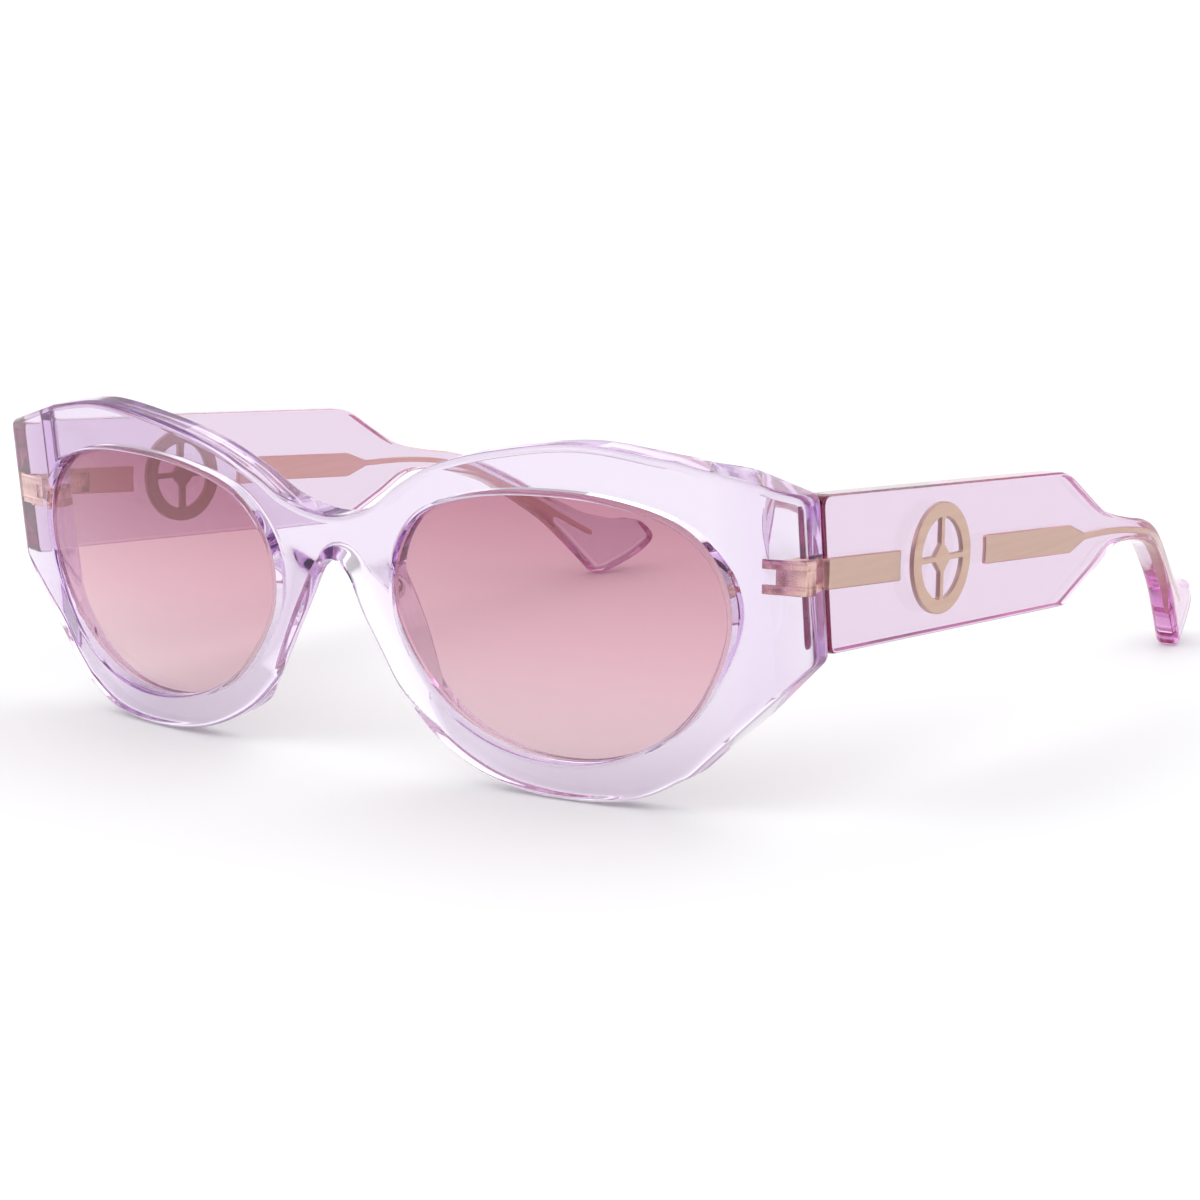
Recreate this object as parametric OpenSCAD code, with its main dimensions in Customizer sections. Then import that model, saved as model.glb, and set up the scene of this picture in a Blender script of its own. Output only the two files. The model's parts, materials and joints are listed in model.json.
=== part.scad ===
// Cat eye sunglasses: clear acetate front, flat wide temples with metal inlays, three-knuckle hinges.
// Axes: +X to the wearer's left, -Y the way the wearer looks, +Z up.
// Origin: on the surface the open glasses stand on, under the middle of their bounding box.
// Each side piece is drawn on the wearer's left and mirrored to the right.

/* [Lenses] */
// Width of each lens opening
lens_w = 52; // [50:0.5:53]
// Height of each lens opening
lens_h = 36; // [34:0.5:37]
// Distance from the middle of the bridge to the middle of a lens
lens_x = 36.5; // [36:0.1:37]
// Lens thickness
lens_t = 1.8; // [1.6:0.1:2]
// How far the lens edge runs into the groove
lens_bite = 0.6; // [0.4:0.1:0.8]

/* [Front] */
// Radius of each half of the front, seen from above
front_r = 130; // [120:1:150]
// Thickness of the front
front_t = 4.6; // [4.4:0.1:5]
// Half the width across the end pieces
front_half_w = 74; // [73.6:0.1:74.4]
// Depth of the lens face behind the face of the front
lens_set = 0.7; // [0.5:0.1:0.8]
// Forward tilt of the front's top
panto = 8.1; // [7:0.1:9]
// Distance from the front's middle plane back to the joint with the temples
joint_y = 12.5; // [12.3:0.1:12.8]

/* [Temples] */
// Thickness of a temple
temple_t = 4; // [3.8:0.1:4.2]
// Inward lean of each temple when open
toe_in = 2.1; // [1.5:0.1:2.5]
// Inward turn of each tip
tip_turn = 16; // [12:0.5:18]
// Radius of the tip's inward bend
bend_r = 60; // [50:1:80]
// Distance along the temple at which the inward bend starts
bend_y = 94; // [92:0.5:98]
// Gap between a temple's end and its end piece
joint_gap = 0.15; // [0.1:0.05:0.3]

/* [Metal] */
// Height of the inlaid bars
bar_h = 4; // [3.5:0.1:4.4]
// Thickness of the inlaid bars and the core
bar_t = 1.4; // [1.2:0.1:1.6]
// Height of the core wire behind the rear bar
wire_h = 0.9; // [0.8:0.1:1.4]
// Outer radius of the round emblem
emblem_r = 7.5; // [7:0.1:7.8]
// Width of the emblem's ring
ring_w = 2; // [1.6:0.1:2.4]
// Thickness of the emblem
emblem_t = 1.6; // [1.2:0.1:1.8]

/* [Hinges] */
// Radius of a hinge knuckle
knuckle_r = 1.35; // [1.3:0.05:1.4]
// Radius of the hinge screw's shank
screw_r = 0.6; // [0.55:0.05:0.65]
// Height of the three knuckles together
hinge_h = 4.5; // [4.3:0.1:4.7]
// Height of the temple's middle knuckle
mid_h = 1.9; // [1.7:0.1:2]
// Gap above and below the middle knuckle
knuckle_gap = 0.05; // [0.03:0.01:0.08]
// Radial running clearance of the screw
screw_play = 0.03; // [0.02:0.01:0.05]

/* [Hidden] */
$fn = 96;
big = 200;          // longer than anything it cuts
eps = 0.01;
over = 1;           // small cutters run this far past what they cut
fine = 360;         // facets of a full circle on the large curves
pad_facets = 24;    // and on a nose pad's corners
front_steps = 5;    // straight steps between two points of the front's and the lenses' curves
temple_steps = 3;   // of a temple's
wire_steps = 4;     // and of the core wire's

// Standing pose: the open glasses rest on the rims and the temple tips.
stand_tilt = 3.63;
stand_z = 22.91;    // height of the bridge middle above the surface
stand_y = -70.25;   // the bridge middle stands this far in front of the origin

// Plan of the front: two tangent arcs for the lens halves, one reversed arc at the bridge.
arc_x = 24.1;       // the front comes furthest forward here
arc_front = -0.6;   // and this far forward
arc_y = front_r + arc_front;
bridge_half = 12;   // the reversed arc covers this much of each half
lens_turn = asin((lens_x - arc_x) / front_r);
bridge_turn = asin((arc_x - bridge_half) / front_r);
bridge_r = bridge_half / sin(bridge_turn);
bridge_y = arc_y - (front_r + bridge_r) * cos(bridge_turn);

// End block, which each temple closes against: it thickens between block_in and block_out.
block_in = 60;
block_out = 65;
block_y = 9.2;      // depth at which the thickening starts
ahead = 20;         // the front's outline is cut from this far ahead of its face
lens_ahead = 10;    // and the lens openings from here
lens_behind = 20;   // to here

// Nose arch: the front's edge opens backwards by this angle, around this circle and leaning wall.
flare = 34.6;
flare_depth = 20;
wall_w = 30;        // size of the block that cuts the leaning wall
wall_h = 40;
flare_r = 1.77;
flare_z = 2.1;
wall_lean = 32.4;

// Hinge place, in the worn frame.
hinge_x = 69.3;
hinge_z = 9.6;
knuckle_back = 0.25;    // gap between the joint and the knuckles
joint_at_hinge = (joint_y - hinge_z * sin(panto)) / cos(panto);
hinge_y = joint_at_hinge + knuckle_r + knuckle_back;
temple_x = 74.55;   // outer face of the temple, carried forward to y = 0
temple_lead = 10;   // the temple's sheet starts this far ahead of y = 0
tail = 60;          // longer than the straight part behind the bend
reach_in = 60;      // the sheet and its bend lie between these, inwards and outwards of that face
reach_out = 10;

// Front leaf: arms sunk in the end piece, each turned towards the nose, joined by a rib.
arm_h = (hinge_h - mid_h) / 2 - knuckle_gap;
arm_sunk = 2.2;     // the arms run this far into the end piece
arm_y = joint_at_hinge - hinge_y - arm_sunk;
anchor_in = 3.1;    // reach of an arm's turned end towards the nose
anchor_out = 3.3;   // and away from it
anchor_t = 1.2;
rib_in = 1.1;

// Screw: its head lies flush in the top knuckle.
head_r = 0.95;
head_h = 0.45;
slot_w = 0.22;
slot_d = 0.25;
slot_l = 4;         // longer than the head, so that the slot crosses it

// Temple leaf: a neck from the middle knuckle to a plate behind the front bar.
neck_l = 2.6;
neck_t = 1.5;
neck_y = -0.6;      // forward face of the neck, from the screw's axis
leaf_y = 21;        // the plate ends here
leaf_h = 3;
leaf_t = 1.1;

// Room for the knuckles in the temple's end: clearance round them, and past their ends.
room_gap = 0.15;
room_end = 0.2;
room_in = 3;
room_front = 6;
lens_play = 0.03;   // gap round a lens in its groove

// Temple landmarks along its length (y) and height (z), in the temple's own frame.
emblem_y = 40.2;
bar_z = 10.3;       // height of the bars' centre line at y = 0
bar_fall = 1.3;     // downward slope of the bars towards the tip
bar_start = 12.2;
bar_depth = 0.3;    // acetate over the bars' outer faces
bar2_end = 77;      // the rear bar's chevron starts to narrow here
front_gap = 3.1;    // clear acetate between the front bar and the emblem
rear_gap = 4.6;     // clear acetate between the emblem and the rear bar
hollow_start = emblem_r + 2;    // the bars are drawn this near to the emblem, then hollowed
emblem_rise = 0.15; // the emblem stands this far proud of the acetate
lozenge_r = 2.3;
spoke_w = 0.8;
pad_r = 1;          // rounding of a nose pad's corners

// ---------- curves ----------

// Point at t of the Catmull-Rom curve from b to c, with neighbours a and d.
function catmull(a, b, c, d, t) =
  (2 * b + (c - a) * t + (2 * a - 5 * b + 4 * c - d) * t * t + (3 * b - a - 3 * c + d) * t * t * t) / 2;

// Smooth closed curve through p, with n steps between points.
function loop_curve(p, n) = [
  for (i = [0 : len(p) - 1], k = [0 : n - 1])
    catmull(p[(i + len(p) - 1) % len(p)], p[i], p[(i + 1) % len(p)], p[(i + 2) % len(p)], k / n)
];

// Smooth open curve through p. Each end heads along its chord, unless a neighbour beyond it is given.
function open_curve(p, n, before, after) = let (
  m = len(p) - 1,
  first = is_undef(before) ? 2 * p[0] - p[1] : before,
  last = is_undef(after) ? 2 * p[m] - p[m - 1] : after
) [
  for (i = [0 : m - 1], k = [0 : n - 1])
    catmull(i == 0 ? first : p[i - 1], p[i], p[i + 1], i == m - 1 ? last : p[i + 2], k / n),
  p[m]
];

// A point's mirror image across the middle of the bridge.
function mirrored(p) = [-p[0], p[1]];

// The closed outline p, moved outwards by d. p runs anticlockwise.
function grown(p, d) = [
  for (i = [0 : len(p) - 1])
    let (e = p[(i + 1) % len(p)] - p[(i + len(p) - 1) % len(p)])
      p[i] + d * [e[1], -e[0]] / norm(e)
];

// ---------- outlines ----------

// Lens opening as fractions of its half width and half height, outer side first, anticlockwise.
lens_shape = [[1.035, 0.06], [1, 0.5], [0.8, 0.81], [0.42, 0.97], [0, 1.0], [-0.38, 0.94],
  [-0.72, 0.77], [-0.92, 0.42], [-0.95, 0], [-0.83, -0.38], [-0.58, -0.75], [-0.22, -0.96],
  [0.2, -0.99], [0.58, -0.82], [0.86, -0.48]];
function lens_curve(d) =
  grown(loop_curve([for (q = lens_shape) [q[0] * lens_w / 2, q[1] * lens_h / 2]], front_steps), d);

// Left half of the front's outline: brow, end piece, cheek line and nose arch.
brow = [[0, 12.1], [7.5, 13.7], [13.5, 17.4], [21, 21], [32, 23.7], [45, 25], [58, 23.1]];
cheek = [[56.7, -18.6], [49, -22.1], [38.5, -23], [27.5, -21.7], [18.5, -17.8], [12, -12.2],
  [7.3, -6.1], [4.5, -0.4], [2.7, 3.8], [0, 5.7]];
half_front = concat(open_curve(brow, front_steps, before = mirrored(brow[1])),
  [[front_half_w, 18.7], [front_half_w, -2.6]],
  open_curve(cheek, front_steps, after = mirrored(cheek[len(cheek) - 2])));

// Side outline of a temple: wide blade, tapered shoulder, thin neck, paddle tip.
neck_top = [[77.2, 17.5], [82, 14.8], [88, 11.7], [95, 10.2], [101, 9.4], [106, 8.1], [112, 5.6],
  [118, 2.6], [124, -0.5], [130, -3.2], [136, -4.5]];
paddle_end = [[136, -4.5], [141.2, -4.9], [144.2, -8], [141.8, -10.9], [136.5, -13.5], [133.2, -14.5],
  [130.5, -12.2]];
neck_low = [[130.5, -12.2], [126, -7.8], [121.5, -3.8], [114, 1.2], [107, 4.7], [101, 6.2], [95, 6.7],
  [90.4, 6.1], [84.8, 3.2]];
blade = concat([[5, 20.1], [74.4, 18.35]], open_curve(neck_top, temple_steps),
  open_curve(paddle_end, temple_steps), open_curve(neck_low, temple_steps), [[76, -0.95], [5, -0.35]]);

// Centre line of the core wire through the neck into the tip.
core_route = [[81.5, 8.55], [88.5, 8.6], [95, 8.3], [101, 7.6], [107, 6.2], [114, 3], [121, -0.8],
  [126.5, -4], [132, -7]];

// Ridge and foot of a nose pad: round-cornered points in x, y, z.
pad_points = [[7.6, 4.2, 4], [10.8, 4.2, 4.2], [9.9, 6.3, 3], [11.2, 6.9, -0.5], [12.7, 6.6, -4.5],
  [14.2, 5.7, -8.8], [11, 4.2, -3], [13, 4.2, -11.5], [15.5, 4.2, -11]];

// ---------- frames ----------

// From the worn frame (origin at the bridge) to the standing frame.
module stand() translate([0, stand_y, stand_z]) rotate([-stand_tilt, 0, 0]) children();

// The piece on the wearer's left, or its mirror image on the right.
module side(right) mirror([right ? 1 : 0, 0, 0]) children();

// Frame of the tilted front, inside the worn frame.
module front_place() rotate([panto, 0, 0]) children();

// Frame of one temple: origin on its outer face, y along it.
module temple_place() translate([temple_x, 0, 0]) rotate([0, 0, toe_in]) children();

// An outline in x and z, made solid from y0 to y1.
module upright(y0, y1) translate([0, y1, 0]) rotate([90, 0, 0]) linear_extrude(y1 - y0) children();

// An outline in y and z, made solid from x0 to x1.
module sideways(x0, x1) translate([x0, 0, 0]) rotate([90, 0, 90]) linear_extrude(x1 - x0) children();

// ---------- front ----------

// Left half of a shell that follows the front's plan, from depth d0 to d1 behind its face.
module half_shell(d0, d1) translate([0, 0, -big / 2]) linear_extrude(big) {
  intersection() {
    translate([bridge_half, -big / 2]) square(big);
    translate([arc_x, arc_y]) difference() {
      circle(front_r - d0, $fn = fine);
      circle(front_r - d1, $fn = fine);
    }
  }
  intersection() {
    translate([-eps, 0]) square([bridge_half + 2 * eps, big], center = false);
    translate([0, bridge_y]) difference() {
      circle(bridge_r + d1, $fn = fine);
      circle(bridge_r + d0, $fn = fine);
    }
  }
}

module lens_place() translate([lens_x, 0, 0]) rotate([0, 0, lens_turn]) children();

// The lens outline, made solid through the front, d wider than the opening.
module lens_block(d) lens_place() upright(-lens_ahead, lens_behind) polygon(lens_curve(d));

// Space between two spheres that share the lens's centre, d0 and d1 behind the front's face.
module lens_shell(d0, d1) translate([arc_x, arc_y, 0]) difference() {
  sphere(front_r - d0, $fn = fine);
  sphere(front_r - d1, $fn = fine);
}

module lens_solid(play) intersection() {
  lens_block(lens_bite + play);
  lens_shell(lens_set - play, lens_set + lens_t + play);
}

// Thicker block at the end of the front, which the temple closes against.
module end_block() intersection() {
  translate([0, 0, -big / 2]) linear_extrude(big)
    polygon([[block_in, block_y], [block_out, joint_y], [front_half_w, joint_y],
      [front_half_w, 0], [block_in, 0]]);
  translate([arc_x, arc_y, -big / 2]) cylinder(r = front_r, h = big, $fn = fine);
}

module half_front_solid() difference() {
  intersection() {
    upright(-ahead, joint_y) polygon(half_front);
    union() {
      half_shell(0, front_t);
      end_block();
    }
  }
  nose_flare();
  lens_block(0);
  lens_solid(lens_play);
}

module front_frame() color([0.88, 0.8, 0.93, 0.5]) stand() difference() {
  front_place() for (right = [false, true]) side(right) half_front_solid();
  for (right = [false, true]) side(right) front_hinge_solid();
}

module lens(right) color([0.84, 0.62, 0.68, 0.5]) stand() side(right) front_place() lens_solid(0);

// The nose arch opens towards the wearer: a cone over the top and a sloping wall down the side.
module nose_flare() {
  translate([0, 0, flare_z]) rotate([-90, 0, 0])
    cylinder(r1 = flare_r, r2 = flare_r + flare_depth * tan(flare), h = flare_depth);
  translate([flare_r * cos(wall_lean), 0, flare_z + flare_r * sin(wall_lean)])
    rotate([0, -wall_lean, 0]) rotate([0, 0, -flare])
      translate([-wall_w, 0, -wall_h]) cube([wall_w, wall_h, wall_h]);
}

// Pad bonded to the back of the front beside the nose. It carries the sloping wall further back.
module nose_pad(right) color([0.88, 0.8, 0.93, 0.5]) stand() side(right) front_place() difference() {
  hull() for (p = pad_points) translate(p) sphere(pad_r, $fn = pad_facets);
  half_shell(-ahead, front_t);
  nose_flare();
}

// ---------- hinges ----------

module at_hinge() translate([hinge_x, hinge_y, hinge_z]) children();

// Front leaf: two knuckles on arms that run into the end piece and turn towards the nose.
module front_hinge_solid() at_hinge() difference() {
  union() {
    for (z = [mid_h / 2 + knuckle_gap, -hinge_h / 2]) translate([0, 0, z]) {
      cylinder(r = knuckle_r, h = arm_h);
      translate([-knuckle_r, arm_y, 0]) cube([2 * knuckle_r, -arm_y, arm_h]);
      translate([-anchor_in, arm_y, 0]) cube([anchor_in + anchor_out, anchor_t, arm_h]);
    }
    translate([-rib_in, arm_y, -hinge_h / 2]) cube([rib_in + anchor_out, anchor_t, hinge_h]);
  }
  translate([0, 0, -hinge_h / 2 - over]) cylinder(r = screw_r, h = hinge_h / 2 + over);
  cylinder(r = screw_r + screw_play, h = hinge_h);
  translate([0, 0, hinge_h / 2 - head_h]) cylinder(r = head_r, h = head_h + over);
}

module hinge_screw(right) color("gainsboro") stand() side(right) at_hinge() difference() {
  union() {
    translate([0, 0, -hinge_h / 2]) cylinder(r = screw_r, h = hinge_h - head_h);
    translate([0, 0, hinge_h / 2 - head_h]) cylinder(r = head_r, h = head_h);
  }
  translate([-slot_l / 2, -slot_w / 2, hinge_h / 2 - slot_d]) cube([slot_l, slot_w, over]);
}

module front_hinge(right) color([0.82, 0.7, 0.62]) stand() side(right) front_hinge_solid();

// Temple leaf: the middle knuckle on a plate that lies behind the front bar.
module temple_hinge_solid() {
  at_hinge() difference() {
    union() {
      translate([0, 0, -mid_h / 2]) cylinder(r = knuckle_r, h = mid_h);
      translate([0, neck_y, -mid_h / 2]) cube([neck_l, neck_t, mid_h]);
    }
    translate([0, 0, -mid_h]) cylinder(r = screw_r + screw_play, h = 2 * mid_h);
  }
  temple_place() translate([-bar_depth - bar_t - leaf_t, hinge_y + neck_y, hinge_z - leaf_h / 2])
    cube([leaf_t, leaf_y - hinge_y, leaf_h]);
}

module temple_hinge(right) color([0.82, 0.7, 0.62]) stand() side(right) temple_hinge_solid();

// ---------- temples ----------

// Plan of a temple between two depths from its outer face: straight, bent inwards, straight.
module temple_plan(d0, d1) {
  translate([-d1, -temple_lead]) square([d1 - d0, bend_y + temple_lead]);
  translate([-bend_r, bend_y]) {
    intersection() {
      difference() {
        circle(bend_r - d0, $fn = fine);
        circle(bend_r - d1, $fn = fine);
      }
      polygon([[0, 0], [2 * bend_r, 0], [2 * bend_r, 2 * bend_r * tan(tip_turn)]]);
    }
    rotate(tip_turn) translate([bend_r - d1, 0]) square([d1 - d0, tail]);
  }
}

// An outline in y and z, cut from a sheet that follows the temple between two depths.
module temple_cut(d0, d1) intersection() {
  sideways(-reach_in, reach_out) children();
  translate([0, 0, -big / 2]) linear_extrude(big) temple_plan(d0, d1);
}

// Bars and core lie along a line that falls gently towards the tip.
function bar_line(y) = bar_z - y * tan(bar_fall);

// Outline of a bar from y0 to y1, its end hollowed to stay clear of the emblem by gap.
module bar_outline(y0, y1, h, gap) difference() {
  polygon([[y0, bar_line(y0) - h / 2], [y1, bar_line(y1) - h / 2],
    [y1, bar_line(y1) + h / 2], [y0, bar_line(y0) + h / 2]]);
  translate([emblem_y, bar_line(emblem_y)]) circle(emblem_r + gap);
}

// The rear bar, its chevron and the wire that runs on through the neck into the tip.
module core_outline() {
  wire = open_curve(core_route, wire_steps);
  low = [for (p = wire) p - [0, wire_h / 2]];
  high = [for (i = [len(wire) - 1 : -1 : 0]) wire[i] + [0, wire_h / 2]];
  top_end = [bar2_end, bar_line(bar2_end) + bar_h / 2];
  bar_outline(emblem_y + hollow_start, bar2_end, bar_h, rear_gap);
  polygon(concat([top_end, top_end - [0, bar_h]], low, high));
}

module front_bar_solid() temple_place() temple_cut(bar_depth, bar_depth + bar_t)
  bar_outline(bar_start, emblem_y - hollow_start, bar_h, front_gap);

module core_solid() temple_place() temple_cut(bar_depth, bar_depth + bar_t) core_outline();

// Round emblem: a ring with a lozenge held by four spokes.
module emblem_solid() temple_place() translate([0, emblem_y, bar_line(emblem_y)])
  sideways(-emblem_t, emblem_rise) {
    difference() {
      circle(emblem_r);
      circle(emblem_r - ring_w);
    }
    circle(lozenge_r, $fn = 4);
    for (a = [0, 90]) rotate(a) square([2 * (emblem_r - ring_w / 2), spoke_w], center = true);
  }

// Room for the knuckles and their arms in the end of the temple.
module knuckle_room() at_hinge() translate([0, 0, -hinge_h / 2 - room_end]) {
  cylinder(r = knuckle_r + room_gap, h = hinge_h + 2 * room_end);
  translate([-room_in, -room_front, 0])
    cube([room_in + knuckle_r + room_gap, room_front, hinge_h + 2 * room_end]);
}

module temple(right) color([0.88, 0.78, 0.92, 0.5]) stand() side(right) difference() {
  temple_place() temple_cut(0, temple_t) polygon(blade);
  front_place() translate([0, joint_y + joint_gap - big, -big / 2]) cube(big);
  knuckle_room();
  temple_hinge_solid();
  front_bar_solid();
  emblem_solid();
  core_solid();
}

module front_bar(right) color([0.82, 0.7, 0.62]) stand() side(right) front_bar_solid();
module emblem(right) color([0.82, 0.7, 0.62]) stand() side(right) emblem_solid();
module core(right) color([0.82, 0.7, 0.62]) stand() side(right) core_solid();

front_frame();
lens(false);  // lens_left
lens(true);  // lens_right
nose_pad(false);  // nose_pad_left
nose_pad(true);  // nose_pad_right
front_hinge(false);  // front_hinge_left
front_hinge(true);  // front_hinge_right
hinge_screw(false);  // hinge_screw_left
hinge_screw(true);  // hinge_screw_right
temple(false);  // temple_left
temple(true);  // temple_right
temple_hinge(false);  // temple_hinge_left
temple_hinge(true);  // temple_hinge_right
front_bar(false);  // front_bar_left
front_bar(true);  // front_bar_right
emblem(false);  // emblem_left
emblem(true);  // emblem_right
core(false);  // core_left
core(true);  // core_right
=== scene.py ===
"""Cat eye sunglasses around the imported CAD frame: clear lilac acetate, graded lenses, rose gold inlays.

Shapes are worked out in millimetres in the worn frame (+X to the wearer's left, -Y forwards, +Z up,
origin at the bridge) and placed in the row frame, in metres, by the hinge axis that the record holds.
"""

import json
import math

import bmesh
import bpy
import numpy as np
from mathutils import Matrix, Vector
from mathutils.geometry import delaunay_2d_cdt


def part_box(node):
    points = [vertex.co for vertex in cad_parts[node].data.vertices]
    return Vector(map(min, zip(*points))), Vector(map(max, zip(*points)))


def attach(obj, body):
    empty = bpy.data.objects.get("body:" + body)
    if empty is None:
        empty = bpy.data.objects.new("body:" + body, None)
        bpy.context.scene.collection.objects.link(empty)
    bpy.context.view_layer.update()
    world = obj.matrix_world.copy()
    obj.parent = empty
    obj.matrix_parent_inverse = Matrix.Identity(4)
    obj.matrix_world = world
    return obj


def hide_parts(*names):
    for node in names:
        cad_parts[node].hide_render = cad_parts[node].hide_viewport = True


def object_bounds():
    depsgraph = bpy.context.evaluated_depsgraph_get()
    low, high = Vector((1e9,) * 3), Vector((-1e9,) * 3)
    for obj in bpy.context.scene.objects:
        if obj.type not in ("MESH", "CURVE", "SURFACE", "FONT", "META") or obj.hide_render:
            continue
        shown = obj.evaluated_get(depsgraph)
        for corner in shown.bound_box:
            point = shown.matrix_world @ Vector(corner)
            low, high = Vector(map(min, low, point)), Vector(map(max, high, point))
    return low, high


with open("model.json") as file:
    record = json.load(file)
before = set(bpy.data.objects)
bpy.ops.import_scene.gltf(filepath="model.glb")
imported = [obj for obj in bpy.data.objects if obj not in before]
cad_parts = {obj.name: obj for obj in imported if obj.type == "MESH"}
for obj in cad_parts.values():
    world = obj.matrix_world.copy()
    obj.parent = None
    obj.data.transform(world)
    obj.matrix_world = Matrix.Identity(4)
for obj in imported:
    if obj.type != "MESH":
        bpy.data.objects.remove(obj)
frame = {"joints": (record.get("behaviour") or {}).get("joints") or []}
cad_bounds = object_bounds()
MM = 0.001

# ---------- dimensions, in millimetres and degrees ----------

# The CAD source's own.
LENS_W, LENS_H, LENS_X = 52.0, 36.0, 36.5
LENS_T, LENS_SET, LENS_BITE = 1.8, 0.7, 0.6
FRONT_R, FRONT_T, FRONT_HALF_W = 130.0, 4.6, 74.0
PANTO, JOINT_Y = 8.1, 12.5
ARC_X, ARC_FRONT, BRIDGE_HALF = 24.1, -0.6, 12.0
FLARE, FLARE_R, FLARE_Z, WALL_LEAN = 34.6, 1.77, 2.1, 32.4
TEMPLE_T, TEMPLE_X, TOE_IN = 4.0, 74.55, 2.1
TIP_TURN, BEND_R, BEND_Y, JOINT_GAP = 16.0, 60.0, 94.0, 0.15
BAR_H, BAR_T, BAR_DEPTH, WIRE_H = 4.0, 1.4, 0.3, 0.9
BAR_Z, BAR_FALL, FRONT_GAP, REAR_GAP = 10.3, 1.3, 3.1, 4.6
BAR_START, BAR2_END = 12.2, 77.0
EMBLEM_R, EMBLEM_Y, EMBLEM_T, EMBLEM_RISE, RING_W = 7.5, 40.2, 1.6, 0.15, 2.0
LOZENGE_R, SPOKE_W = 2.3, 0.8
KNUCKLE_R, SCREW_R, HINGE_H, MID_H, KNUCKLE_GAP = 1.35, 0.6, 4.5, 1.9, 0.05
HEAD_R, HEAD_H, SLOT_W, SLOT_D, SLOT_L, SCREW_PLAY = 0.95, 0.45, 0.22, 0.25, 4, 0.03
ARM_SUNK, ANCHOR_IN, ANCHOR_OUT, ANCHOR_T, RIB_IN = 2.2, 3.1, 3.3, 1.2, 1.1
NECK_L, NECK_T, NECK_Y = 2.6, 1.5, -0.6
LEAF_H, LEAF_T, LEAF_END = 3.0, 1.1, 21.0
ROOM_GAP, ROOM_END, ROOM_IN, ROOM_FRONT = 0.15, 0.2, 3, 6
HINGE_X, HINGE_Z, KNUCKLE_BACK = 69.3, 9.6, 0.25

# Roundings and blends that only these pieces have; the CAD's edges are sharp.
END_RAMP = (59.4, 66.0)          # the back of the front rises to the joint between these
FRONT_EDGE, BACK_EDGE = 0.9, 0.5
OPENING_EDGE, OPENING_BACK_EDGE = 0.6, 0.45
TEMPLE_EDGE, TEMPLE_INNER_EDGE = 0.45, 0.55
PADDLE, PADDLE_R = (108.0, 130.0), 1.25     # the tip's edges grow rounder between these, to this radius
LENS_EDGE, BAR_EDGE, BAR_CORNER = 0.15, 0.12, 0.4
END_CORNERS = (8, 1.6, 2.2, 5)   # radii round an end piece, from the brow to the cheek
JOINT_CORNER, BLADE_TOP_R, BLADE_LOW_R = 1.6, 5, 4
EMBLEM_EDGE, EMBLEM_INNER_EDGE = 0.22, 0.1
SPAN = 0.7                       # points along the front's edges stand this far apart
GROOVE_PLAY = 0.04               # gap between a lens and its groove
LENS_SHORT = 0.02                # a lens's edge ends this far short of the CAD's
JOINT_LEAN = (1.0, 5.0)          # a temple's outline stops following its joint between these
FLARE_REACH = 30                 # the nose flare cuts the outline only this near to the middle
INSET = 0.02                     # shells of one piece that overlap are inset, so that no faces coincide
PAST_BORE = 0.75                 # arms and necks end this far from the screw's axis, inside the knuckle

# Outlines: (across, up) for the front and the lenses, (along, up) for a temple.
LENS_SHAPE = [(1.035, 0.06), (1, 0.5), (0.8, 0.81), (0.42, 0.97), (0, 1.0), (-0.38, 0.94), (-0.72, 0.77),
              (-0.92, 0.42), (-0.95, 0), (-0.83, -0.38), (-0.58, -0.75), (-0.22, -0.96), (0.2, -0.99),
              (0.58, -0.82), (0.86, -0.48)]
BROW = [(0, 12.1), (7.5, 13.7), (13.5, 17.4), (21, 21), (32, 23.7), (45, 25), (58, 23.1)]
END_PIECE = [(FRONT_HALF_W, 18.7), (FRONT_HALF_W, -2.6)]
CHEEK = [(56.7, -18.6), (49, -22.1), (38.5, -23), (27.5, -21.7), (18.5, -17.8), (12, -12.2), (7.3, -6.1),
         (4.5, -0.4), (2.7, 3.8), (0, 5.7)]
BLADE_TOP, BLADE_LOW = [(5, 20.1), (74.4, 18.35)], [(76, -0.95), (5, -0.35)]
TIP = [(77.2, 17.5), (82, 14.8), (88, 11.7), (95, 10.2), (101, 9.4), (106, 8.1), (112, 5.6), (118, 2.6),
       (124, -0.5), (130, -3.2), (136, -4.5), (141.2, -4.9), (144.2, -8), (141.8, -10.9), (136.5, -13.5),
       (133.2, -14.5), (130.5, -12.2), (126, -7.8), (121.5, -3.8), (114, 1.2), (107, 4.7), (101, 6.2),
       (95, 6.7), (90.4, 6.1), (84.8, 3.2)]
WIRE = [(81.5, 8.55), (88.5, 8.6), (95, 8.3), (101, 7.6), (107, 6.2), (114, 3), (121, -0.8), (126.5, -4),
        (132, -7)]
# Ridge of a nose pad: (across, up, height over the back of the front).
PAD_RIDGE = [(8.3, 6.0, 0.0), (9.4, 3.2, 1.5), (10.7, -0.6, 2.1), (12.2, -4.6, 2.1), (14.0, -8.8, 1.4),
             (15.4, -12.2, 0.0)]
PAD_CREST = 0.3          # half the width of the pad's crest, from which it falls outwards
PAD_SLOPE = 2.6          # its outer side has come down to the back of the front this far from the ridge
PAD_NOSE_SLOPE = (3, 6)  # and its nose side falls between these
PAD_OVERHANG = 0.45      # the pad leans over the lens opening by this share of its height


def sin(degrees):
    return math.sin(math.radians(degrees))


def cos(degrees):
    return math.cos(math.radians(degrees))


def tan(degrees):
    return math.tan(math.radians(degrees))


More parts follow.
